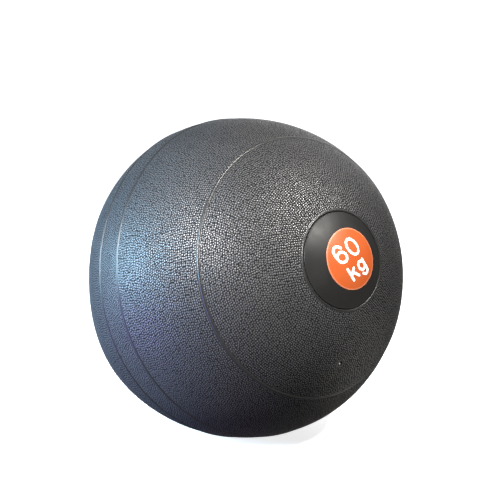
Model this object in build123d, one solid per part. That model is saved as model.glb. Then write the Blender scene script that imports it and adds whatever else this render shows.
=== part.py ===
from build123d import *
import math
import os

# A 60 kg dead-weight medicine ball (slam ball), in millimetres.
# Origin: the middle of the flat patch that the ball rests on. +Z is up.
# The ball is two half shells that meet at an equator. Its polar axis runs through the label
# badge: it leans forward, towards -Y, and rises from the horizontal by label_tilt.
# Each piece is drawn about that polar axis, in a "polar frame" whose +Z runs out through the
# label badge, and is then turned upright.

# --- driving dimensions -----------------------------------------------------------------------
ball_diameter = 350.0
wall_thickness = 10.0
liner_thickness = 2.0
floor_sag = 4.5
label_tilt = 15.0

# mouldings on the shell
band_width = 33.0
band_depth = 4.0
joint_strip_width = 44.0
joint_strip_depth = 2.0
bead_radius = 1.3
bead_sink = 0.7
mid_bead_height = 110.0
rim_bead_radius = 1.0
rim_bead_sink = 0.6

# badge at each pole
recess_diameter = 100.0
recess_depth = 4.0
badge_gap = 0.7
badge_dome_radius = 130.0
badge_edge_round = 1.0
adhesive_thickness = 0.3
adhesive_margin = 2.5
weight_label_diameter = 63.0
weight_label_thickness = 0.4
weight_label_shift = 4.6

# filler opening under the label badge
filler_seat_height = 158.0
neck_outer_radius = 16.0
neck_bore_radius = 11.0
neck_flange_radius = 30.0
neck_flange_thickness = 3.4
gasket_thickness = 1.1
clamp_ring_radius = 24.0
clamp_ring_clearance = 0.5
clamp_ring_bottom = 164.0
clamp_ring_thickness = 3.2
seal_ring_thickness = 1.2
plug_head_radius = 15.5
plug_head_thickness = 2.0
plug_bottom = 154.0
plug_socket_radius = 5.0
plug_socket_depth = 9.0

# inflation valve in the label half
valve_polar_angle = 36.3
valve_azimuth = -91.5
valve_stem_radius = 3.2
valve_mouth_depth = 1.2
valve_flange_radius = 9.0
valve_flange_thickness = 2.5
valve_core_radius = 1.3
valve_core_length = 9.0
valve_core_rise = 0.5

# filling
fill_level_above_centre = 114.0

# --- derived dimensions -----------------------------------------------------------------------
ball_radius = ball_diameter / 2
centre_height = ball_radius - floor_sag
cavity_radius = ball_radius - wall_thickness
fill_radius = cavity_radius - liner_thickness
strip_radius = cavity_radius + joint_strip_depth
band_floor_radius = ball_radius - band_depth
recess_radius = recess_diameter / 2
recess_floor_radius = ball_radius - recess_depth
badge_radius = recess_radius - badge_gap
badge_seat_radius = recess_floor_radius + adhesive_thickness
rim_height = math.sqrt(ball_radius**2 - recess_radius**2)
rim_bead_height = math.sqrt(ball_radius**2 - (recess_radius + rim_bead_radius)**2)
edge_bead_height = band_width / 2 + bead_radius
badge_dome_centre = rim_height - math.sqrt(badge_dome_radius**2 - recess_radius**2)
liner_seat_height = filler_seat_height - liner_thickness
flange_top = liner_seat_height - gasket_thickness
flange_bottom = flange_top - neck_flange_thickness
neck_top = clamp_ring_bottom + clamp_ring_thickness
plug_head_bottom = neck_top + seal_ring_thickness
plug_head_top = plug_head_bottom + plug_head_thickness
valve_flange_bottom = fill_radius - valve_flange_thickness
valve_stem_top = ball_radius - valve_mouth_depth
valve_core_top = valve_stem_top + valve_core_rise
reach = 2 * ball_radius

FROM_POLAR = Pos(0, 0, centre_height) * Rot(90 - label_tilt, 0, 0)
TO_REAR = Rot(180, 0, 0)


def disc(radius, bottom, top):
    """A round slab about the polar axis, between two heights along it."""
    return Pos(0, 0, (bottom + top) / 2) * Cylinder(radius, top - bottom)


def ring(inner_radius, outer_radius, bottom, top):
    """A flat ring about the polar axis."""
    return disc(outer_radius, bottom, top) - disc(inner_radius, bottom, top)


def above(height):
    """All the space above a level plane of the upright ball."""
    return Pos(0, 0, height + reach) * Box(2 * reach, 2 * reach, 2 * reach)


def upright(shape):
    """Turn a shape from the polar frame to the upright frame of the part."""
    return FROM_POLAR * shape


def sagged_ball(radius):
    """A ball inside the outer skin, with its underside as far from the floor as from the skin."""
    whole = Pos(0, 0, centre_height) * Sphere(radius)
    return whole & above(ball_radius - radius)


def bead(height, radius=bead_radius, sink=bead_sink):
    """A raised half-round line along a circle of latitude, sunk a little into the skin."""
    depth_radius = ball_radius - sink
    latitude = math.asin(height / ball_radius)
    path_radius = depth_radius * math.cos(latitude)
    return Pos(0, 0, depth_radius * math.sin(latitude)) * Torus(path_radius, radius)


def equator_slab(width):
    """The space within half the width of the equator plane."""
    return upright(disc(reach, -width / 2, width / 2))


def band_space():
    """The shallow step that the equator band fills."""
    return (sagged_ball(reach) - sagged_ball(band_floor_radius)) & equator_slab(band_width)


def strip_space():
    """The step inside the wall that the joint strip fills, with the cavity it opens into."""
    return sagged_ball(strip_radius) & equator_slab(joint_strip_width)


def cavity():
    """The inside of the shell, with a flat seat around the filler opening."""
    return sagged_ball(cavity_radius) & upright(disc(reach, -reach, filler_seat_height))


def fill_space():
    """The inside of the liner, with the same flat seat one liner thickness further in."""
    return sagged_ball(fill_radius) & upright(disc(reach, -reach, liner_seat_height))


def badge_recess():
    """The round dish in the skin that a badge sits in."""
    return disc(recess_radius, 0, reach) - Sphere(recess_floor_radius)


def valve_frame(shape):
    """Turn a shape drawn about its own axis so that it runs out through the valve."""
    return upright(Rot(0, 0, valve_azimuth) * Rot(0, valve_polar_angle, 0) * shape)


def valve_hole():
    """The round passage of the valve through the wall and the liner."""
    return valve_frame(disc(valve_stem_radius, 0, reach))


def half_shell(to_pole):
    """The wall of one half, with its beads, band step, joint step and badge dish."""
    skin = Sphere(ball_radius) + bead(mid_bead_height) + bead(edge_bead_height)
    skin = skin + bead(rim_bead_height, rim_bead_radius, rim_bead_sink)
    skin = skin & disc(reach, 0, reach)
    skin = upright(to_pole * (skin - badge_recess())) & above(0)
    return skin - cavity() - strip_space() - band_space()


def label_half_shell():
    """Front half of the skin, also pierced for the filler neck and the valve."""
    filler_hole = disc(neck_outer_radius, 0, reach)
    ring_pocket = disc(clamp_ring_radius + clamp_ring_clearance, clamp_ring_bottom, reach)
    wall = half_shell(Rot(0, 0, 0)) - upright(filler_hole + ring_pocket)
    return wall - valve_hole()


def rear_half_shell():
    """Rear half of the skin."""
    return half_shell(TO_REAR)


def equator_band():
    """Smooth-edged strip moulded over the joint of the two halves."""
    return (sagged_ball(ball_radius) - sagged_ball(band_floor_radius)) & equator_slab(band_width)


def inner_joint_strip():
    """Tape that backs the joint on the inside."""
    return strip_space() - sagged_ball(cavity_radius)


def inner_liner():
    """Sand-tight bladder against the inside of the wall."""
    pierced = cavity() - fill_space() - upright(disc(neck_outer_radius, 0, reach))
    return pierced - valve_hole()


def iron_sand_fill():
    """Loose heavy filling, level on top, that lies around the neck and the valve flange."""
    fill = fill_space() - above(centre_height + fill_level_above_centre)
    fill = fill - upright(disc(neck_flange_radius, flange_bottom, reach))
    return fill - valve_frame(disc(valve_flange_radius, valve_flange_bottom, reach))


def filler_neck():
    """Flanged bush that passes out through the liner and the wall."""
    flange = ring(neck_bore_radius, neck_flange_radius, flange_bottom, flange_top)
    barrel = ring(neck_bore_radius, neck_outer_radius, flange_bottom, neck_top)
    return upright(flange + barrel)


def neck_gasket():
    """Soft washer between the neck flange and the liner."""
    return upright(ring(neck_outer_radius, neck_flange_radius, flange_top, liner_seat_height))


def neck_clamp_ring():
    """Ring nut that pulls the neck up against the wall."""
    return upright(ring(neck_outer_radius, clamp_ring_radius, clamp_ring_bottom, neck_top))


def plug_seal_ring():
    """Flat seal under the head of the plug."""
    return upright(ring(neck_bore_radius, plug_head_radius, neck_top, plug_head_bottom))


def filler_plug():
    """Screwed plug with a hexagon socket, closed under the badge."""
    shank = disc(neck_bore_radius, plug_bottom, plug_head_bottom)
    head = disc(plug_head_radius, plug_head_bottom, plug_head_top)
    hexagon = RegularPolygon(plug_socket_radius, 6)
    socket = Pos(0, 0, plug_head_top - plug_socket_depth) * extrude(hexagon, plug_socket_depth)
    return upright(shank + head - socket)


def badge_adhesive(inner_radius):
    """Bond line between the dish and the back of a badge."""
    space = ring(inner_radius, badge_radius - adhesive_margin, 0, reach)
    return space & (Sphere(badge_seat_radius) - Sphere(recess_floor_radius))


def label_badge_adhesive():
    """Bond line of the front badge, left open over the filler opening."""
    return upright(badge_adhesive(clamp_ring_radius + clamp_ring_clearance))


def rear_badge_adhesive():
    """Bond line of the rear badge."""
    return upright(TO_REAR * badge_adhesive(clamp_ring_radius + clamp_ring_clearance))


def badge_dome(extra=0.0):
    """The ball whose cap is the domed face of a badge."""
    return Pos(0, 0, badge_dome_centre) * Sphere(badge_dome_radius + extra)


def badge():
    """Domed round cap that fits a dish, with a rounded edge."""
    cap = (disc(badge_radius, 0, reach) & badge_dome()) - Sphere(badge_seat_radius)
    rims = cap.edges().filter_by(GeomType.CIRCLE).group_by(SortBy.RADIUS)[0]
    return fillet(rims.sort_by(Axis.Z)[-1], badge_edge_round)


def label_badge():
    """Front badge, which carries the weight label."""
    return upright(badge())


def rear_badge():
    """Plain badge in the rear dish."""
    return upright(TO_REAR * badge())


def weight_label():
    """Thin round sticker on the front badge, a little off its centre."""
    space = Pos(weight_label_shift, 0, 0) * disc(weight_label_diameter / 2, 0, reach)
    return upright(space & (badge_dome(weight_label_thickness) - badge_dome()))


def air_valve_body():
    """Rubber valve: a stem through the wall and a flange inside the liner."""
    flange = disc(valve_flange_radius, valve_flange_bottom, reach) & Sphere(fill_radius)
    stem = disc(valve_stem_radius, valve_flange_bottom, valve_stem_top)
    return valve_frame(flange + stem) - air_valve_core()


def air_valve_core():
    """Pale insert that shows in the mouth of the valve."""
    return valve_frame(disc(valve_core_radius, valve_core_top - valve_core_length, valve_core_top))


NODES = [
    label_half_shell,
    rear_half_shell,
    equator_band,
    inner_joint_strip,
    inner_liner,
    iron_sand_fill,
    filler_neck,
    neck_gasket,
    neck_clamp_ring,
    plug_seal_ring,
    filler_plug,
    label_badge_adhesive,
    label_badge,
    weight_label,
    rear_badge_adhesive,
    rear_badge,
    air_valve_body,
    air_valve_core,
]

os.makedirs("parts", exist_ok=True)
for make in NODES:
    export_step(make(), f"parts/{make.__name__}.step")
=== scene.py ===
import math

import bmesh
import bpy
import numpy as np
from mathutils import Matrix, Vector


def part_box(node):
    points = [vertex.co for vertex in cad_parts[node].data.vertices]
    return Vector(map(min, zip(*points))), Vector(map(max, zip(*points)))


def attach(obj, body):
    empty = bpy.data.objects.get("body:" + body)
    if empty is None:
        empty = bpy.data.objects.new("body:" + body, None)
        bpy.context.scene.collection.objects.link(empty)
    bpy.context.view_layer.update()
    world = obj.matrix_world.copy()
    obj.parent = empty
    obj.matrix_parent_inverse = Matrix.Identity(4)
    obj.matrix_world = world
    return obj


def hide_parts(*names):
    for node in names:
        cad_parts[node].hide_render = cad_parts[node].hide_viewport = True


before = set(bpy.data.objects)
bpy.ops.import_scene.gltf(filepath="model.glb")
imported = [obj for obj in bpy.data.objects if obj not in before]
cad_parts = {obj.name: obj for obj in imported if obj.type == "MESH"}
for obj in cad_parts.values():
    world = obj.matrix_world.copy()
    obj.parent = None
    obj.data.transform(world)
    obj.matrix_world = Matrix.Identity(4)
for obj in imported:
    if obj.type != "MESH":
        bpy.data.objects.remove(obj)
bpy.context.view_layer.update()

# Everything is in metres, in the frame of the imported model: origin at the floor contact, +Z up.
# The ball's polar axis runs out through the label badge, towards -Y and upwards. Most pieces are
# drawn in a polar frame, whose +Z is that axis and whose origin is the middle of the ball.
MM = 0.001

# --- the ball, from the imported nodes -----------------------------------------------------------
band_low, band_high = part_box("equator_band")
liner_low, liner_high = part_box("inner_liner")
BALL_RADIUS = (band_high.x - band_low.x) / 2
CAVITY_RADIUS = (liner_high.x - liner_low.x) / 2
CENTRE = Vector((0, 0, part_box("label_half_shell")[1].z - BALL_RADIUS))
LABEL_TILT = math.radians(15)

# --- mouldings on the skin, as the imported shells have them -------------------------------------
BAND_HALF_WIDTH = 16.5 * MM
BAND_DEPTH = 4 * MM
BAND_EDGE_EASE = 0.45 * MM
STRIP_HALF_WIDTH = 22 * MM
STRIP_DEPTH = 2 * MM
BEAD_RADIUS = 1.3 * MM
BEAD_SINK = 0.7 * MM
MID_BEAD_HEIGHT = 110 * MM
RIM_BEAD_RADIUS = 1.0 * MM
RIM_BEAD_SINK = 0.6 * MM
RECESS_RADIUS = 50 * MM
RECESS_DEPTH = 4 * MM
DISH_RADIUS = BALL_RADIUS - RECESS_DEPTH
NECK_HOLE_RADIUS = 16 * MM
RING_POCKET_RADIUS = 24.5 * MM
RING_POCKET_HEIGHT = 164 * MM
FILLER_SEAT_HEIGHT = 158 * MM

# --- valve -------------------------------------------------------------------------------------
VALVE_POLAR_ANGLE = math.radians(36.3)
VALVE_AZIMUTH = math.radians(-91.5)
VALVE_RADIUS = 3.2 * MM
VALVE_MOUTH_DEPTH = 1.6 * MM
VALVE_MOUTH_LIP = 0.9 * MM
VALVE_SEGMENTS = 48
# Outlines as distance from the valve's axis and height from the ball's middle, in millimetres.
VALVE_BODY = [
    (0.0, 172.6), (1.25, 172.6), (1.45, 173.3), (1.8, 173.9), (2.3, 174.1), (2.8, 173.9),
    (3.1, 173.3), (3.2, 172.4), (3.2, 163.2), (9.0, 162.8), (9.0, 160.6), (0.0, 160.6),
]
VALVE_CORE = [
    (0.0, 173.7), (0.3, 173.75), (0.45, 174.3), (0.7, 174.5), (1.05, 174.4), (1.25, 174.0),
    (1.3, 173.4), (1.3, 165.5), (0.0, 165.5),
]

# --- badge, label and printed mark -------------------------------------------------------------
BADGE_RADIUS = 49.3 * MM
BADGE_DOME_RADIUS = 130 * MM
BADGE_BACK_RADIUS = DISH_RADIUS + 0.3 * MM
BADGE_EDGE_ROUND = 1.0 * MM
BADGE_SEGMENTS = 256
RIM_HEIGHT = math.sqrt(BALL_RADIUS**2 - RECESS_RADIUS**2)
DOME_CENTRE = RIM_HEIGHT - math.sqrt(BADGE_DOME_RADIUS**2 - RECESS_RADIUS**2)
LABEL_RADIUS = 31.5 * MM
LABEL_THICKNESS = 0.4 * MM
LABEL_EDGE_ROUND = 0.35 * MM
LABEL_SINK = 0.05 * MM
LABEL_SHIFT = 4.6 * MM
LABEL_SEGMENTS = 192
PRINT_TURN = math.radians(22.5)
PRINT_LEAN = 0.16
PRINT_HALF_WIDTH = 1.5 * MM
PRINT_THICKNESS = 0.16 * MM
PRINT_VOXEL = 0.28 * MM

# --- moulded grain and mesh density ------------------------------------------------------------
PEBBLE_PITCH = 2.55 * MM
PEBBLE_ROW = PEBBLE_PITCH * math.sqrt(3) / 2
PEBBLE_DEPTH = 0.38 * MM
PEBBLE_SEED = 60
PEBBLE_JITTER = 0.26  # how far a pebble may be off its place, as a share of the pitch
PEBBLE_SLOPE = 0.85  # how far a pebble's side slopes in: 0 is a sharp edge, 1 reaches its middle
PEBBLE_MEAN = 0.86  # mean height of a pebble's top, as a share of the depth
PEBBLE_SPREAD = 0.14  # how much higher or lower a single top may be
PEBBLE_LEVEL = 0.55  # the pebble height that lies on the ball's true surface
GRAIN_MARGIN = 1.4 * MM
RING_SPACING = PEBBLE_ROW / 4
CAP_SEGMENTS = 1000
BELT_SEGMENTS = 1280
BAND_SEGMENTS = 1280
BEAD_STEPS = np.array([-1.1, -1, -0.85, -0.6, -0.3, 0, 0.3, 0.6, 0.85, 1, 1.1])

# --- the soft shape of the filled ball ---------------------------------------------------------
# Azimuth from +X towards +Y and elevation of the middle of each lump, in degrees, then its
# angular size in degrees and its height in millimetres. A minus sign is a dent.
LUMPS = [
    (143, 0, 15, -4.2),
    (143, -38, 15, 2.4),
    (143, 62, 18, 2.0),
    (-37, -62, 17, 1.6),
    (-37, 47, 20, 0.9),
    (-37, -15, 18, -1.6),
]
LUMP_FREE_ANGLE = math.radians(19)
LUMP_FULL_ANGLE = math.radians(38)
SOFT_CONTACT = 1.5 * MM

# --- colours -----------------------------------------------------------------------------------
# Near black in the grain's valleys: painted shade in the hollows between pebbles.
PEBBLE_VALLEY_SHADE = (0.006, 0.006, 0.007)
PEBBLE_TOP_DULL = (0.052, 0.052, 0.053)
PEBBLE_TOP_WORN = (0.077, 0.077, 0.078)
SMOOTH_BLACK = (0.018, 0.018, 0.018)
BADGE_BLACK = (0.012, 0.012, 0.012)
LABEL_ORANGE = (0.44, 0.08, 0.012)
LABEL_THICK_INK = (0.4, 0.066, 0.008)
LABEL_THIN_INK = (0.4, 0.078, 0.015)
# Paler orange along the label's edge: a painted highlight where the edge catches light.
LABEL_RIM_HIGHLIGHT = (0.48, 0.15, 0.07)
PRINT_WHITE = (0.86, 0.85, 0.83)
PRINT_DULL = (0.82, 0.81, 0.79)
PRINT_BRIGHT = (0.9, 0.9, 0.88)
SAND_BROWN = (0.08, 0.07, 0.065)
SAND_PALE = (0.13, 0.115, 0.105)
# Dark colour for the gaps between sand grains: painted shade.
SAND_GAP_SHADE = (0.03, 0.027, 0.025)
FLOOR_WHITE = (0.86, 0.86, 0.86)

# Small and inner pieces: two tones, roughness, size of the unevenness and depth of its bump.
PLAIN_MATERIALS = {
    "seal_rubber": ((0.012, 0.012, 0.013), (0.02, 0.02, 0.021), 0.6, 1.5 * MM, 0.05 * MM),
    "valve_core": ((0.5, 0.5, 0.49), (0.6, 0.6, 0.58), 0.4, 1.0 * MM, 0.02 * MM),
    "joint_tape": ((0.03, 0.03, 0.028), (0.045, 0.045, 0.042), 0.65, 6 * MM, 0.08 * MM),
    "liner_rubber": ((0.02, 0.02, 0.02), (0.03, 0.03, 0.03), 0.7, 8 * MM, 0.1 * MM),
    "neck_plastic": ((0.05, 0.05, 0.055), (0.07, 0.07, 0.075), 0.45, 3 * MM, 0.05 * MM),
    "adhesive": ((0.6, 0.58, 0.5), (0.5, 0.48, 0.4), 0.5, 4 * MM, 0.08 * MM),
}
INNER_NODES = {
    "inner_joint_strip": "joint_tape",
    "inner_liner": "liner_rubber",
    "iron_sand_fill": "iron_sand",
    "neck_gasket": "seal_rubber",
    "plug_seal_ring": "seal_rubber",
    "filler_neck": "neck_plastic",
    "neck_clamp_ring": "neck_plastic",
    "filler_plug": "neck_plastic",
    "label_badge_adhesive": "adhesive",
    "rear_badge_adhesive": "adhesive",
}

# --- view and light ----------------------------------------------------------------------------
VIEW_AZIMUTH = math.radians(-37.6)
VIEW_ELEVATION = math.radians(10)
CAMERA_LENS = 95.1
CAMERA_OFFSET = (0.033, 0.175, 8.352)  # right, up and back from the ball's middle, in ball radii
LIGHT_DISTANCE = 1.8
# Direction as right, up and back in the main view, then size, power in watts and colour.
LIGHTS = {
    "window": ((-0.98, 0.14, 0.15), 0.6, 100, (0.38, 0.73, 1.0)),
    "low_window": ((-0.9, -0.35, 0.2), 0.9, 23, (0.32, 0.2, 1.0)),
    "front": ((-0.47, 0.42, 0.78), 0.4, 80, (1.0, 0.98, 0.98)),
    "lamp": ((0.55, 0.65, 0.52), 0.2, 60, (1.0, 0.97, 0.92)),
    "bounce": ((0.72, -0.58, -0.38), 0.8, 3.5, (1.0, 0.98, 0.95)),
    "rear": ((0.3, 0.5, -0.81), 1.2, 12, (1.0, 1.0, 1.0)),
}
SKY_BELOW = (0.16, 0.15, 0.14)
SKY_ABOVE = (0.03, 0.03, 0.03)


# --- frames and curves -------------------------------------------------------------------------
def to_upright(points):
    """Rows of points from the polar frame to the upright frame of the part."""
    turn = Matrix.Rotation(math.pi / 2 - LABEL_TILT, 4, "X")
    matrix = np.array(Matrix.Translation(CENTRE) @ turn)
    return points @ matrix[:3, :3].T + matrix[:3, 3]


def smooth_step(values, low, high):
    """0 below low, 1 above high, and an even curve between them."""
    t = np.clip((values - low) / (high - low), 0, 1)
    return t * t * (3 - 2 * t)


# --- soft shape --------------------------------------------------------------------------------
def lump_height(directions, polar_cosine):
    """Radial push of the soft lumps, which fade out near the badges."""
    push = np.zeros(len(directions))
    for azimuth, elevation, size, height in LUMPS:
        a, e = math.radians(azimuth), math.radians(elevation)
        middle = np.array((math.cos(a) * math.cos(e), math.sin(a) * math.cos(e), math.sin(e)))
        spread = math.radians(size) ** 2
        push += height * MM * np.exp((directions @ middle - 1) / spread)
    from_pole = np.arccos(np.clip(np.abs(polar_cosine), 0, 1))
    return push * smooth_step(from_pole, LUMP_FREE_ANGLE, LUMP_FULL_ANGLE)


def settle(points, floor):
    """Flatten what lies below the floor height given for each point, with a soft bend."""
    above = points[:, 2] - floor
    bend = (above + SOFT_CONTACT) ** 2 / (4 * SOFT_CONTACT)
    lifted = np.where(above > SOFT_CONTACT, above, np.where(above < -SOFT_CONTACT, 0, bend))
    points[:, 2] = floor + lifted
    return points


def soften(polar_points, softness, relief):
    """Polar points of the skin, raised by relief and soft lumps, settled on the floor, upright."""
    radius = np.linalg.norm(polar_points, axis=1)
    cosine = polar_points[:, 2] / radius
    points = to_upright(polar_points)
    directions = (points - np.array(CENTRE)) / radius[:, None]
    rise = lump_height(directions, cosine) * softness + relief
    points += directions * rise[:, None]
    return settle(points, np.clip(BALL_RADIUS - radius, 0, None))


# --- meshes ------------------------------------------------------------------------------------
def link(name, mesh):
    """A new object for the mesh, smooth shaded and in the scene."""
    mesh.shade_smooth()
    piece = bpy.data.objects.new(name, mesh)
    bpy.context.scene.collection.objects.link(piece)
    return piece


def evaluated_mesh(piece):
    """A new mesh of what a piece's curves or modifiers make of it."""
    bpy.context.view_layer.update()
    graph = bpy.context.evaluated_depsgraph_get()
    return bpy.data.meshes.new_from_object(piece.evaluated_get(graph), depsgraph=graph)


def turned_points(profile, segments):
    """Points of a profile of (distance from the axis, height) turned about the polar axis."""
    turn = np.arange(segments) * (2 * math.pi / segments)
    rho, height = profile[:, 0, None], profile[:, 1, None]
    rows = np.stack([rho * np.cos(turn), rho * np.sin(turn), height + 0 * turn], axis=-1)
    return rows.reshape(-1, 3)


def turned_faces(rings, segments, closed):
    """Quads between neighbouring rings, and from the last ring to the first when closed."""
    ring = np.arange(rings if closed else rings - 1)[:, None] * segments
    following = (ring + segments) % (rings * segments)
    here = np.arange(segments)[None, :]
    beside = (here + 1) % segments
    quads = np.stack([ring + here, ring + beside, following + beside, following + here], axis=-1)
    return quads.reshape(-1, 4)


def turned_mesh(name, points, segments, closed):
    """A mesh of turned rings with its faces outwards. Rings of no size become one vertex."""
    mesh = bpy.data.meshes.new(name)
    faces = turned_faces(len(points) // segments, segments, closed)
    mesh.from_pydata(points.tolist(), [], faces.tolist())
    shape = bmesh.new()
    shape.from_mesh(mesh)
    if not closed:
        bmesh.ops.remove_doubles(shape, verts=shape.verts, dist=1e-7)
    if shape.calc_volume(signed=True) < 0:
        bmesh.ops.reverse_faces(shape, faces=shape.faces)
    shape.to_mesh(mesh)
    shape.free()
    return mesh


def arc_points(radius, start, stop, count):
    """(distance from the axis, height) along a circle about the ball's centre."""
    angles = np.linspace(start, stop, count)
    return np.stack([radius * np.sin(angles), radius * np.cos(angles)], axis=-1)


def level_points(distances, height):
    """(distance from the axis, height) along a level line."""
    return np.stack([distances, np.full(len(distances), height)], axis=-1)


def rounded_edge(middle, radius, first_angle, count):
    """(distance from the axis, height) round an outer edge, from first_angle degrees to level."""
    bend = np.linspace(math.radians(first_angle), 0, count)
    return np.stack([np.cos(bend), np.sin(bend)], axis=-1) * radius + middle


# --- moulded grain -----------------------------------------------------------------------------
def pebble_lattice():
    """Rows of pebbles about the polar axis: how many in each row, and how each one is off."""
    rows = int(math.pi * BALL_RADIUS / PEBBLE_ROW) + 2
    angles = np.arange(rows) * PEBBLE_ROW / BALL_RADIUS
    counts = np.maximum(6, np.round(2 * math.pi * BALL_RADIUS * np.sin(angles) / PEBBLE_PITCH))
    uneven = np.random.default_rng(PEBBLE_SEED).uniform(-1, 1, (rows, int(counts.max()), 3))
    return counts.astype(int), uneven


PEBBLE_COUNTS, PEBBLE_UNEVEN = pebble_lattice()


def pebble_height(points):
    """Height, 0 to 1, of the pebbled grain at each polar point of the skin."""
    angle = np.arccos(points[:, 2] / np.linalg.norm(points, axis=1))
    azimuth = np.arctan2(points[:, 1], points[:, 0])
    jitter = PEBBLE_JITTER * PEBBLE_PITCH
    nearest = np.full(len(points), 1.0)
    second = np.full(len(points), 1.0)
    tallness = np.zeros(len(points))
    for row_step in (-1, 0, 1):
        row = np.round(angle * BALL_RADIUS / PEBBLE_ROW).astype(int) + row_step
        row = np.clip(row, 0, len(PEBBLE_COUNTS) - 1)
        count = PEBBLE_COUNTS[row]
        stagger = (row % 2) / 2
        place = np.round(azimuth / (2 * math.pi) * count - stagger).astype(int)
        for side_step in (-1, 0, 1):
            pebble = place + side_step
            off = PEBBLE_UNEVEN[row, pebble % count]
            turn = azimuth - (pebble + stagger) / count * 2 * math.pi
            along = turn * BALL_RADIUS * np.sin(angle) - off[:, 0] * jitter
            across = angle * BALL_RADIUS - row * PEBBLE_ROW - off[:, 1] * jitter
            distance = np.hypot(along, across)
            tallness = np.where(distance < nearest, off[:, 2], tallness)
            second = np.minimum(second, np.maximum(distance, nearest))
            nearest = np.minimum(nearest, distance)
    dome = smooth_step((second - nearest) / (second + nearest), 0, PEBBLE_SLOPE)
    return dome * (PEBBLE_MEAN + PEBBLE_SPREAD * tallness)


# --- skin of the two halves and the band -------------------------------------------------------
def latitude_angle(height):
    """Polar angle of the circle of latitude at a height above the equator plane."""
    return math.acos(height / BALL_RADIUS)


RECESS_ANGLE = math.asin(RECESS_RADIUS / BALL_RADIUS)
RIM_BEAD_ANGLE = math.asin((RECESS_RADIUS + RIM_BEAD_RADIUS) / BALL_RADIUS)
MID_BEAD_ANGLE = latitude_angle(MID_BEAD_HEIGHT)
EDGE_BEAD_ANGLE = latitude_angle(BAND_HALF_WIDTH + BEAD_RADIUS)
BAND_EDGE_ANGLE = latitude_angle(BAND_HALF_WIDTH)
CAP_END_ANGLE = MID_BEAD_ANGLE + (BEAD_RADIUS + 0.2 * MM) / BALL_RADIUS
BEADS = [
    (RIM_BEAD_ANGLE, RIM_BEAD_RADIUS, RIM_BEAD_SINK),
    (MID_BEAD_ANGLE, BEAD_RADIUS, BEAD_SINK),
    (EDGE_BEAD_ANGLE, BEAD_RADIUS, BEAD_SINK),
]


def bead_foot(radius, sink):
    """Half the width of a bead where it meets the skin."""
    return math.sqrt(radius**2 - sink**2)


def bead_rise(angles):
    """How far the beads stand out of the skin at each polar angle."""
    rise = np.zeros(len(angles))
    for middle, radius, sink in BEADS:
        across = (angles - middle) * BALL_RADIUS
        rise += np.clip(np.sqrt(np.clip(radius**2 - across**2, 0, None)) - sink, 0, None)
    return rise


def grain_cover(angles, edges):
    """1 where the skin is grained, fading to 0 at the beads and at the given edges."""
    cover = np.ones(len(angles))
    for middle, radius, sink in BEADS:
        across = np.abs(angles - middle) * BALL_RADIUS
        foot = bead_foot(radius, sink)
        cover *= smooth_step(across, foot, foot + GRAIN_MARGIN)
    for edge in edges:
        cover *= smooth_step(np.abs(angles - edge) * BALL_RADIUS, 0, GRAIN_MARGIN)
    return cover


def ring_angles(start, stop):
    """Polar angles of the rings between two angles, in step with the rows of pebbles."""
    step = RING_SPACING / BALL_RADIUS
    smallest_gap, bead_clearance = 0.3 * step, 1.3
    rings = np.arange(math.ceil(start / step), math.floor(stop / step) + 1) * step
    rings = rings[(rings - start > smallest_gap) & (stop - rings > smallest_gap)]
    rings = np.concatenate([[start], rings, [stop]])
    for middle, radius, sink in BEADS:
        foot = bead_foot(radius, sink)
        fine = middle + BEAD_STEPS * foot / BALL_RADIUS
        clear = np.abs(rings - middle) * BALL_RADIUS > bead_clearance * foot
        rings = np.concatenate([rings[clear | (rings == start) | (rings == stop)], fine])
    rings = np.unique(rings)
    return rings[(rings >= start) & (rings <= stop)]


def outer_profile(angles, rise):
    """(distance from the axis, height) of the outside of the skin at these polar angles."""
    radius = BALL_RADIUS + rise
    return np.stack([radius * np.sin(angles), radius * np.cos(angles)], axis=-1)


def skin_outline(profile, skin, cover, soft):
    """A profile with how grained and how soft each of its points is."""
    grain, softness = np.zeros(len(profile)), np.zeros(len(profile))
    grain[skin] = cover
    softness[soft] = 1
    return profile, grain, softness


def cap_inside(with_filler):
    """Outlines of a cap's inside and of the floor of its dish, pierced for the filler or not."""
    dish_edge = math.asin(RECESS_RADIUS / DISH_RADIUS)
    if not with_filler:
        inner = arc_points(CAVITY_RADIUS, CAP_END_ANGLE, 0, 14)
        return inner, arc_points(DISH_RADIUS, 0, dish_edge, 10)
    seat_angle = math.acos(FILLER_SEAT_HEIGHT / CAVITY_RADIUS)
    inner = arc_points(CAVITY_RADIUS, CAP_END_ANGLE, seat_angle, 10)
    pocket_angle = math.asin(RING_POCKET_RADIUS / DISH_RADIUS)
    hole = np.array([
        (NECK_HOLE_RADIUS, FILLER_SEAT_HEIGHT),
        (NECK_HOLE_RADIUS, RING_POCKET_HEIGHT),
        (RING_POCKET_RADIUS, RING_POCKET_HEIGHT),
    ])
    dish = np.concatenate([hole, arc_points(DISH_RADIUS, pocket_angle, dish_edge, 6)])
    return inner, dish


def cap_profile(with_filler):
    """Closed outline of the skin from the badge dish to just past the mid bead."""
    angles = ring_angles(RECESS_ANGLE, CAP_END_ANGLE)
    outer = outer_profile(angles, bead_rise(angles))
    inner, dish = cap_inside(with_filler)
    wall_heights = np.linspace(dish[-1, 1], outer[0, 1], 5)[1:-1]
    wall = np.stack([np.full(len(wall_heights), RECESS_RADIUS), wall_heights], axis=-1)
    profile = np.concatenate([dish, wall, outer, inner])
    first = len(dish) + len(wall)
    skin = slice(first, first + len(angles))
    return skin_outline(profile, skin, grain_cover(angles, [CAP_END_ANGLE]), slice(0, skin.stop))


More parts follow.
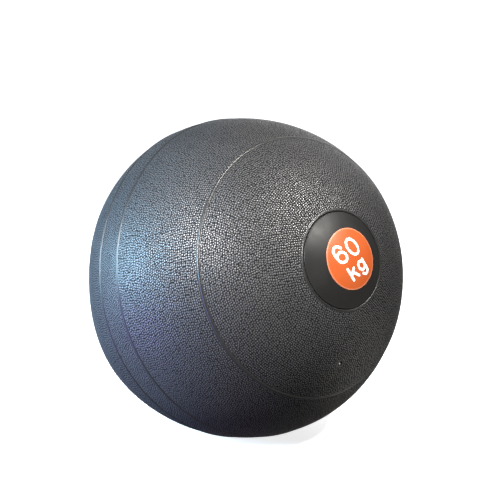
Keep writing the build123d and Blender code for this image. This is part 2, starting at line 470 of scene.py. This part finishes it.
def belt_profile():
    """Closed outline of the skin from just past the mid bead to the equator joint."""
    angles = ring_angles(CAP_END_ANGLE, BAND_EDGE_ANGLE)
    outer = outer_profile(angles, bead_rise(angles))
    cover = grain_cover(angles, [CAP_END_ANGLE, BAND_EDGE_ANGLE])
    step_radius = BALL_RADIUS - BAND_DEPTH
    strip_radius = CAVITY_RADIUS + STRIP_DEPTH
    step = arc_points(step_radius, math.acos(BAND_HALF_WIDTH / step_radius), math.pi / 2, 5)
    strip = arc_points(strip_radius, math.pi / 2, math.acos(STRIP_HALF_WIDTH / strip_radius), 5)
    strip_angle = math.acos(STRIP_HALF_WIDTH / CAVITY_RADIUS)
    inner = arc_points(CAVITY_RADIUS, strip_angle, CAP_END_ANGLE, 10)
    profile = np.concatenate([outer, step, strip, inner])
    skin = slice(0, len(angles))
    return skin_outline(profile, skin, cover, skin)


def band_profile():
    """Closed outline of the equator band, with eased edges."""
    edge = math.pi / 2 - BAND_EDGE_ANGLE
    count = round(2 * edge * BALL_RADIUS / RING_SPACING)
    angles = np.linspace(BAND_EDGE_ANGLE, math.pi - BAND_EDGE_ANGLE, count)
    from_edge = (edge - np.abs(angles - math.pi / 2)) * BALL_RADIUS
    drop = BAND_EDGE_EASE * (1 - smooth_step(from_edge, -BAND_EDGE_EASE, 2 * BAND_EDGE_EASE))
    outer = outer_profile(angles, -drop)
    back_radius = BALL_RADIUS - BAND_DEPTH
    back_angle = math.acos(BAND_HALF_WIDTH / back_radius)
    back = arc_points(back_radius, math.pi - back_angle, back_angle, 7)
    skin = slice(0, count)
    cover = smooth_step(from_edge, 0, GRAIN_MARGIN)
    return skin_outline(np.concatenate([outer, back]), skin, cover, skin)


def sink_valve_mouth(points, grain):
    """Press the mouth of the valve into the skin and smooth the grain around it."""
    rho = math.sin(VALVE_POLAR_ANGLE)
    direction = np.array((
        rho * math.cos(VALVE_AZIMUTH),
        rho * math.sin(VALVE_AZIMUTH),
        math.cos(VALVE_POLAR_ANGLE),
    ))
    along = points @ direction
    across = np.linalg.norm(points - along[:, None] * direction, axis=1)
    outside = (along > 0) & (np.linalg.norm(points, axis=1) > BALL_RADIUS - 0.1 * MM)
    inside_mouth = 1 - smooth_step(across, VALVE_RADIUS - VALVE_MOUTH_LIP, VALVE_RADIUS)
    press = np.where(outside, inside_mouth, 0)
    grain *= np.where(outside, smooth_step(across, VALVE_RADIUS, 2 * VALVE_RADIUS), 1)
    return points - press[:, None] * VALVE_MOUTH_DEPTH * direction, grain


def store_on_points(mesh, label, values):
    """Store one number on each point of a mesh, for its material to read."""
    attribute = mesh.attributes.new(label, "FLOAT", "POINT")
    attribute.data.foreach_set("value", values.astype(np.float32))


def skin_piece(name, outline, segments, rear=False, valve=False):
    """One zone of the skin, grained, lumped, settled and ready to shade."""
    profile, grain, softness = outline
    points = turned_points(profile, segments)
    cover = np.repeat(grain, segments)
    if valve:
        points, cover = sink_valve_mouth(points, cover)
    if rear:
        points = points * np.array((1, -1, -1))
    grained = cover > 0
    pebble = np.full(len(points), PEBBLE_LEVEL)
    pebble[grained] = pebble_height(points[grained])
    relief = (pebble - PEBBLE_LEVEL) * cover * PEBBLE_DEPTH
    upright = soften(points, np.repeat(softness, segments), relief)
    closed = profile[0, 0] > 0
    mesh = turned_mesh(name, upright, segments, closed)
    for label, values in (("pebble", pebble), ("grained", cover)):
        if not closed:  # the first and the last ring are one point each
            values = np.concatenate([values[:1], values[segments:-segments], values[-1:]])
        store_on_points(mesh, label, values)
    return link(name, mesh)


# --- shader nodes ------------------------------------------------------------------------------
def connect(tree, value, socket):
    """Feed a socket from another socket, a number or a colour."""
    if isinstance(value, bpy.types.NodeSocket):
        tree.links.new(value, socket)
    elif isinstance(value, tuple):
        socket.default_value = (*value, 1)
    else:
        socket.default_value = value


def math_node(tree, operation, first, second):
    """A Math node on sockets or numbers. Returns its output."""
    node = tree.nodes.new("ShaderNodeMath")
    node.operation = operation
    connect(tree, first, node.inputs[0])
    connect(tree, second, node.inputs[1])
    return node.outputs[0]


def noise(tree, position, scale, detail=2.0):
    """A 3-D noise texture at a number of cells per metre. Returns its value."""
    node = tree.nodes.new("ShaderNodeTexNoise")
    node.inputs["Scale"].default_value = scale
    node.inputs["Detail"].default_value = detail
    tree.links.new(position, node.inputs["Vector"])
    return node.outputs["Fac"]


def ramp_node(tree, value, low, high, new_low=0.0, new_high=1.0, kind="SMOOTHSTEP"):
    """A Map Range node. Returns its output."""
    node = tree.nodes.new("ShaderNodeMapRange")
    node.interpolation_type = kind
    node.inputs["From Min"].default_value = low
    node.inputs["From Max"].default_value = high
    node.inputs["To Min"].default_value = new_low
    node.inputs["To Max"].default_value = new_high
    tree.links.new(value, node.inputs["Value"])
    return node.outputs["Result"]


def mix_node(tree, kind, factor, first, second):
    """A mix of two numbers (FLOAT) or two colours (RGBA) by a factor socket. Returns its output."""
    node = tree.nodes.new("ShaderNodeMix")
    node.data_type = kind
    connect(tree, first, node.inputs["A"])
    connect(tree, second, node.inputs["B"])
    tree.links.new(factor, node.inputs["Factor"])
    return node.outputs["Result"]


def vector_size(tree, operation, vector, other=None):
    """The LENGTH of a vector or its DISTANCE from another. Returns its output."""
    node = tree.nodes.new("ShaderNodeVectorMath")
    node.operation = operation
    tree.links.new(vector, node.inputs[0])
    if other is not None:
        node.inputs[1].default_value = other
    return node.outputs["Value"]


def object_position(tree):
    """Position on the piece, in metres."""
    return tree.nodes.new("ShaderNodeTexCoord").outputs["Object"]


def skin_attribute(tree, name):
    """A value stored on the points of the skin."""
    node = tree.nodes.new("ShaderNodeAttribute")
    node.attribute_name = name
    return node.outputs["Fac"]


def add_bump(tree, shader, height, distance, strength=1.0):
    """A bump of a height socket on the shader's normal."""
    node = tree.nodes.new("ShaderNodeBump")
    node.inputs["Distance"].default_value = distance
    node.inputs["Strength"].default_value = strength
    tree.links.new(height, node.inputs["Height"])
    tree.links.new(node.outputs[0], shader.inputs["Normal"])


# --- materials ---------------------------------------------------------------------------------
def new_material(name, color, roughness, **sockets):
    """A Principled material. Returns it with its node tree and shader."""
    material = bpy.data.materials.new(name)
    material.use_nodes = True
    tree = material.node_tree
    shader = tree.nodes["Principled BSDF"]
    shader.inputs["Base Color"].default_value = (*color, 1)
    shader.inputs["Roughness"].default_value = roughness
    for label, value in sockets.items():
        shader.inputs[label.replace("_", " ")].default_value = value
    return material, tree, shader


def grained_rubber(name):
    """Black rubber: moulded grain with dull valleys painted dark as shade and shiny tops, and
    smooth beads and edges.
    """
    material, tree, shader = new_material(name, PEBBLE_TOP_DULL, 0.4, IOR=1.7)
    smooth_roughness, smooth_shine = 0.34, 0.25
    position = object_position(tree)
    pebble, grained = skin_attribute(tree, "pebble"), skin_attribute(tree, "grained")
    cloud = noise(tree, position, 11.0, 4.0)
    worn = ramp_node(tree, cloud, 0.3, 0.7)
    tops = mix_node(tree, "RGBA", worn, PEBBLE_TOP_DULL, PEBBLE_TOP_WORN)
    # The base colour darkens towards the valleys: painted shade between the pebbles.
    grain = mix_node(tree, "RGBA", pebble, PEBBLE_VALLEY_SHADE, tops)
    color = mix_node(tree, "RGBA", grained, SMOOTH_BLACK, grain)
    tree.links.new(color, shader.inputs["Base Color"])
    wear = math_node(tree, "ADD", pebble, math_node(tree, "MULTIPLY", cloud, 0.3))
    grain_roughness = ramp_node(tree, wear, 0.2, 1.2, 0.78, 0.25, "LINEAR")
    roughness = mix_node(tree, "FLOAT", grained, smooth_roughness, grain_roughness)
    tree.links.new(roughness, shader.inputs["Roughness"])
    grain_shine = ramp_node(tree, pebble, 0.1, 0.9, 0.02, 1.0, "LINEAR")
    shine = mix_node(tree, "FLOAT", grained, smooth_shine, grain_shine)
    tree.links.new(shine, shader.inputs["Specular IOR Level"])
    add_bump(tree, shader, noise(tree, position, 900.0), 0.12 * MM)
    return material


def gloss_black():
    """Glossy black moulded plastic with faint handling haze and a slightly wavy face."""
    material, tree, shader = new_material("badge_gloss", BADGE_BLACK, 0.44, Specular_IOR_Level=0.25)
    position = object_position(tree)
    haze = noise(tree, position, 45.0, 4.0)
    tree.links.new(ramp_node(tree, haze, 0.35, 0.7, 0.4, 0.52), shader.inputs["Roughness"])
    add_bump(tree, shader, noise(tree, position, 30.0, 1.0), 0.25 * MM, 0.6)
    return material


def label_film():
    """Orange printed film with a clear coat, paler where the ink is thin, and with a painted
    highlight along its rim.
    """
    material, tree, shader = new_material(
        "label_orange", LABEL_ORANGE, 0.4, Coat_Weight=0.4, Coat_Roughness=0.35
    )
    position = object_position(tree)
    thin = ramp_node(tree, noise(tree, position, 70.0, 3.0), 0.3, 0.75)
    ink = mix_node(tree, "RGBA", thin, LABEL_THICK_INK, LABEL_THIN_INK)
    middle = to_upright(lay_on_dome(np.array([[LABEL_SHIFT, 0, 0]])))[0]
    # The rim is painted paler: a painted highlight along the label's edge.
    from_middle = vector_size(tree, "DISTANCE", position, middle)
    rim_highlight = ramp_node(tree, from_middle, LABEL_RADIUS - 1.5 * MM, LABEL_RADIUS - 0.9 * MM)
    color = mix_node(tree, "RGBA", rim_highlight, ink, LABEL_RIM_HIGHLIGHT)
    tree.links.new(color, shader.inputs["Base Color"])
    add_bump(tree, shader, noise(tree, position, 400.0), 0.02 * MM, 0.6)
    return material


def print_white():
    """Thick white screen print with a slight texture."""
    material, tree, shader = new_material("print_white", PRINT_WHITE, 0.35)
    position = object_position(tree)
    bright = ramp_node(tree, noise(tree, position, 120.0, 3.0), 0.3, 0.7)
    color = mix_node(tree, "RGBA", bright, PRINT_DULL, PRINT_BRIGHT)
    tree.links.new(color, shader.inputs["Base Color"])
    add_bump(tree, shader, noise(tree, position, 900.0), 0.03 * MM, 0.5)
    return material


def plain_detail(name, color, shade, roughness, cell, bump):
    """A two-tone, softly uneven material for small and inner pieces."""
    material, tree, shader = new_material(name, color, roughness)
    tone = noise(tree, object_position(tree), 1 / cell, 4.0)
    mixed = mix_node(tree, "RGBA", ramp_node(tree, tone, 0.3, 0.7), color, shade)
    tree.links.new(mixed, shader.inputs["Base Color"])
    uneven = ramp_node(tree, tone, 0.3, 0.7, roughness * 0.85, roughness * 1.15)
    tree.links.new(uneven, shader.inputs["Roughness"])
    add_bump(tree, shader, tone, bump)
    return material


def sand_material():
    """Dark iron sand: angular grains, pale in the middle, with painted shade in the gaps between
    them.
    """
    material, tree, shader = new_material("iron_sand", SAND_BROWN, 0.7)
    grains = tree.nodes.new("ShaderNodeTexVoronoi")
    grains.inputs["Scale"].default_value = 900
    tree.links.new(object_position(tree), grains.inputs["Vector"])
    tone = grains.outputs["Distance"]
    # Darker towards each grain's edge: painted shade between the grains.
    color = mix_node(tree, "RGBA", ramp_node(tree, tone, 0.1, 0.7), SAND_PALE, SAND_GAP_SHADE)
    tree.links.new(color, shader.inputs["Base Color"])
    add_bump(tree, shader, tone, 0.5 * MM)
    return material


# --- badges, label, print and valve ------------------------------------------------------------
def dome_height(rho):
    """Height of the badge's domed face above the equator plane."""
    return DOME_CENTRE + np.sqrt(BADGE_DOME_RADIUS**2 - rho**2)


def badge_profile():
    """Outline of a badge from the middle of its face round its edge to the middle of its back."""
    flat = BADGE_RADIUS - BADGE_EDGE_ROUND
    rho = np.linspace(0, flat, 40)
    face = np.stack([rho, dome_height(rho)], axis=-1)
    edge_height = dome_height(flat) - BADGE_EDGE_ROUND
    edge = rounded_edge((flat, edge_height), BADGE_EDGE_ROUND, 75, 8)
    back_angle = math.asin(BADGE_RADIUS / BADGE_BACK_RADIUS)
    back = arc_points(BADGE_BACK_RADIUS, back_angle, 0, 24)
    return np.concatenate([face, edge, back])


def badge_piece(name, rear):
    """A rigid badge on the polar axis, at the front or at the rear."""
    points = turned_points(badge_profile(), BADGE_SEGMENTS)
    if rear:
        points = points * np.array((1, -1, -1))
    return link(name, turned_mesh(name, to_upright(points), BADGE_SEGMENTS, False))


def label_profile():
    """Outline of the weight label about its own middle, as (distance, thickness)."""
    flat = LABEL_RADIUS - LABEL_EDGE_ROUND
    face = level_points(np.linspace(0, flat, 48), LABEL_THICKNESS)
    edge = rounded_edge((flat, LABEL_THICKNESS - LABEL_EDGE_ROUND), LABEL_EDGE_ROUND, 70, 6)
    back = level_points(np.linspace(LABEL_RADIUS, 0, 24), -LABEL_SINK)
    return np.concatenate([face, edge, back])


def lay_on_dome(flat_points):
    """Points drawn flat on the label, as (x, y, thickness), laid on the badge's dome."""
    x, y, thickness = flat_points.T
    rho = np.hypot(x, y)
    base = np.stack([x, y, dome_height(rho)], axis=-1)
    outward = np.stack([x, y, np.sqrt(BADGE_DOME_RADIUS**2 - rho**2)], axis=-1)
    return base + outward / BADGE_DOME_RADIUS * thickness[:, None]


def label_piece():
    """The round orange label, laid on the front badge."""
    points = turned_points(label_profile(), LABEL_SEGMENTS)
    points[:, 0] += LABEL_SHIFT
    upright = to_upright(lay_on_dome(points))
    name = "weight_label_film"
    return link(name, turned_mesh(name, upright, LABEL_SEGMENTS, False))


def arc_stroke(centre, radii, start, stop, count):
    """Points along part of an ellipse that leans with the print, in millimetres."""
    angles = np.radians(np.linspace(start, stop, count))
    across, along = radii[0] * np.cos(angles), radii[1] * np.sin(angles)
    return [(centre[0] + x - PRINT_LEAN * y, centre[1] + y) for x, y in zip(across, along)]


def weight_strokes():
    """Strokes of the plain weight mark, in millimetres about the label's middle."""
    six_bowl = arc_stroke((-11.0, 7.2), (5.7, 5.4), 180, 540, 44)
    six_back = [(-16.7, 7.2)] + arc_stroke((-11.8, 12.0), (5.9, 7.7), 185, 30, 26)
    zero = arc_stroke((6.9, 9.8), (6.4, 8.8), 0, 360, 56)
    k_stem = [(-11.8, -6.2), (-9.4, -19.6)]
    k_arm = [(-3.9, -8.8), (-10.2, -14.6)]
    k_leg = [(-6.9, -12.0), (-0.8, -18.8)]
    g_bowl = arc_stroke((7.4, -11.8), (4.4, 4.6), 0, 360, 44)
    g_tail = [(11.4, -6.9), (13.4, -17.6)] + arc_stroke((9.2, -18.0), (4.3, 4.1), 0, -150, 16)
    return [six_bowl, six_back, zero, k_stem, k_arm, k_leg, g_bowl, g_tail]


def stroke_tubes(strokes):
    """Tubes along the strokes, in metres, as one mesh."""
    data = bpy.data.curves.new("weight_mark", "CURVE")
    data.dimensions = "3D"
    data.bevel_depth = PRINT_HALF_WIDTH
    data.bevel_resolution = 4
    data.use_fill_caps = True
    for stroke in strokes:
        spline = data.splines.new("POLY")
        spline.points.add(len(stroke) - 1)
        for point, (x, y) in zip(spline.points, stroke):
            point.co = (x * MM, y * MM, 0, 1)
    piece = bpy.data.objects.new("weight_mark", data)
    bpy.context.scene.collection.objects.link(piece)
    mesh = evaluated_mesh(piece)
    bpy.data.objects.remove(piece)
    return mesh


def add_round_ends(mesh, strokes):
    """Add a ball at both ends of each stroke."""
    ends = bmesh.new()
    ends.from_mesh(mesh)
    for stroke in strokes:
        for x, y in (stroke[0], stroke[-1]):
            place = Matrix.Translation((x * MM, y * MM, 0))
            bmesh.ops.create_uvsphere(
                ends, u_segments=24, v_segments=12, radius=PRINT_HALF_WIDTH, matrix=place
            )
    ends.to_mesh(mesh)
    ends.free()


def press_on_label(mesh):
    """Flatten the fused strokes, turn them to their place and lay them on the label."""
    flat = np.zeros(len(mesh.vertices) * 3)
    mesh.vertices.foreach_get("co", flat)
    x, y, z = flat.reshape(-1, 3).T
    side_slope, underside = 1.6, -0.5
    rise = np.clip(z / PRINT_HALF_WIDTH * side_slope, underside, 1)
    height = LABEL_THICKNESS + PRINT_THICKNESS * rise
    cosine, sine = math.cos(PRINT_TURN), math.sin(PRINT_TURN)
    across, along = x * cosine - y * sine + LABEL_SHIFT, x * sine + y * cosine
    placed = np.stack([across, along, height], axis=-1)
    mesh.vertices.foreach_set("co", to_upright(lay_on_dome(placed)).ravel())
    mesh.update()


def weight_mark():
    """The printed weight, fused to one skin, flattened and laid on the label."""
    strokes = weight_strokes()
    tubes = stroke_tubes(strokes)
    add_round_ends(tubes, strokes)
    piece = link("weight_mark", tubes)
    fuse = piece.modifiers.new("fuse", "REMESH")
    fuse.mode = "VOXEL"
    fuse.voxel_size = PRINT_VOXEL
    fused = evaluated_mesh(piece)
    piece.modifiers.clear()
    piece.data = fused
    press_on_label(fused)
    fused.shade_smooth()
    return piece


def valve_piece(name, profile):
    """A small turned piece on the valve's own axis."""
    points = turned_points(np.array(profile) * MM, VALVE_SEGMENTS)
    turn = Matrix.Rotation(VALVE_AZIMUTH, 3, "Z") @ Matrix.Rotation(VALVE_POLAR_ANGLE, 3, "Y")
    upright = to_upright(points @ np.array(turn).T)
    return link(name, turned_mesh(name, upright, VALVE_SEGMENTS, False))


# --- stage -------------------------------------------------------------------------------------
def floor_material():
    """Even white that glows, a little less near the ball: painted shade round where the ball
    stands.
    """
    material, tree, shader = new_material("studio_floor", FLOOR_WHITE, 0.7, Specular_IOR_Level=0.2)
    shader.inputs["Emission Color"].default_value = (1, 1, 1, 1)
    from_ball = vector_size(tree, "LENGTH", object_position(tree))
    # Less glow close to the ball: painted shade round its foot.
    glow = ramp_node(tree, from_ball, 0.15, 1.2, 0.8, 1.0)
    tree.links.new(glow, shader.inputs["Emission Strength"])
    return material


def studio_floor():
    """Plain pale floor that sweeps up all round, far from the ball, which does not reflect it."""
    flat_radius, bend_radius, top, segments = 3.2, 0.9, 3.0, 96
    bend = np.linspace(0, math.pi / 2, 16)
    edge = flat_radius + bend_radius
    rho = np.concatenate([[0, 0.3, 1.0, 2.2], flat_radius + bend_radius * np.sin(bend), [edge]])
    height = np.concatenate([[0, 0, 0, 0], bend_radius * (1 - np.cos(bend)), [top]])
    points = turned_points(np.stack([rho, height], axis=-1), segments)
    mesh = bpy.data.meshes.new("studio_floor")
    mesh.from_pydata(points.tolist(), [], turned_faces(len(rho), segments, False).tolist())
    floor = link("studio_floor", mesh)
    floor.data.materials.append(floor_material())
    floor.visible_diffuse = False
    floor.visible_glossy = False
    floor.visible_shadow = False


def view_axes():
    """Right, up and backward directions of the main view."""
    a, e = VIEW_AZIMUTH, VIEW_ELEVATION
    right = Vector((math.cos(a), math.sin(a), 0))
    up = Vector((-math.sin(a) * math.sin(e), math.cos(a) * math.sin(e), math.cos(e)))
    return right, up, right.cross(up)


def in_view(amounts):
    """A vector from its amounts to the right, up and back in the main view."""
    return sum((amount * axis for amount, axis in zip(amounts, view_axes())), Vector())


def main_camera():
    """The camera, round to the left of the label's front, a little above the ball."""
    data = bpy.data.cameras.new("main_camera")
    data.sensor_width = 36
    data.lens = CAMERA_LENS
    data.clip_end = 20
    camera = bpy.data.objects.new("main_camera", data)
    camera.location = CENTRE + BALL_RADIUS * in_view(CAMERA_OFFSET)
    camera.rotation_euler = Matrix(view_axes()).transposed().to_euler()
    bpy.context.scene.collection.objects.link(camera)
    bpy.context.scene.camera = camera


def area_light(name, direction, size, power, color):
    """A soft square light that faces the ball from a direction of the main view."""
    data = bpy.data.lights.new(name, "AREA")
    data.shape = "SQUARE"
    data.size = size
    data.energy = power
    data.color = color
    light = bpy.data.objects.new(name, data)
    away = in_view(direction).normalized()
    light.location = CENTRE + away * LIGHT_DISTANCE
    light.rotation_euler = away.to_track_quat("Z", "Y").to_euler()
    bpy.context.scene.collection.objects.link(light)


def sky():
    """Faint light from all round, stronger from below."""
    world = bpy.data.worlds.new("studio")
    world.use_nodes = True
    tree = world.node_tree
    up_down = tree.nodes.new("ShaderNodeSeparateXYZ")
    tree.links.new(tree.nodes.new("ShaderNodeTexCoord").outputs["Generated"], up_down.inputs[0])
    height = ramp_node(tree, up_down.outputs["Z"], -0.3, 0.3)
    color = mix_node(tree, "RGBA", height, SKY_BELOW, SKY_ABOVE)
    tree.links.new(color, tree.nodes["Background"].inputs["Color"])
    bpy.context.scene.world = world


def lights():
    """Two cool windows on the left, two lamps, a faint bounce from below, a rear fill and sky."""
    for name, settings in LIGHTS.items():
        area_light(name, *settings)
    sky()
    bpy.context.scene.view_settings.view_transform = "Standard"


# --- put together ------------------------------------------------------------------------------
def finish_piece(piece, slot, material, *nodes):
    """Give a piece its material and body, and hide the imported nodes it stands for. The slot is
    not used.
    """
    piece.data.materials.clear()
    piece.data.materials.append(material)
    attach(piece, "root")
    if nodes:
        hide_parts(*nodes)


def build_skin():
    """Two zones for each half of the skin, and the band between the halves."""
    shell_rubber = grained_rubber("shell_rubber")
    for side, rear in (("label", False), ("rear", True)):
        cap = skin_piece(f"{side}_skin_cap", cap_profile(not rear), CAP_SEGMENTS, rear, not rear)
        finish_piece(cap, "shell_rubber", shell_rubber, f"{side}_half_shell")
        belt = skin_piece(f"{side}_skin_belt", belt_profile(), BELT_SEGMENTS, rear)
        finish_piece(belt, "shell_rubber", shell_rubber, f"{side}_half_shell")
    band = skin_piece("equator_band_skin", band_profile(), BAND_SEGMENTS)
    finish_piece(band, "band_rubber", grained_rubber("band_rubber"), "equator_band")


def build_badges():
    """The badge at each pole, and the label with its printed mark on the front one."""
    badge_gloss = gloss_black()
    for side, rear in (("label", False), ("rear", True)):
        badge = badge_piece(f"{side}_badge_cap", rear)
        finish_piece(badge, "badge_gloss", badge_gloss, f"{side}_badge")
    finish_piece(label_piece(), "label_orange", label_film(), "weight_label")
    finish_piece(weight_mark(), "print_white", print_white())


def build_valve(materials):
    """The valve's rubber body and its pale core."""
    mouth = valve_piece("valve_mouth", VALVE_BODY)
    finish_piece(mouth, "seal_rubber", materials["seal_rubber"], "air_valve_body")
    core = valve_piece("valve_core_pin", VALVE_CORE)
    finish_piece(core, "valve_core", materials["valve_core"], "air_valve_core")


def dress_inner_nodes(materials):
    """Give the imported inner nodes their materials."""
    for node, name in INNER_NODES.items():
        for material_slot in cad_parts[node].material_slots:
            material_slot.material = materials[name]


main_camera()
lights()
studio_floor()
build_skin()
build_badges()
small_materials = {name: plain_detail(name, *look) for name, look in PLAIN_MATERIALS.items()}
small_materials["iron_sand"] = sand_material()
build_valve(small_materials)
dress_inner_nodes(small_materials)
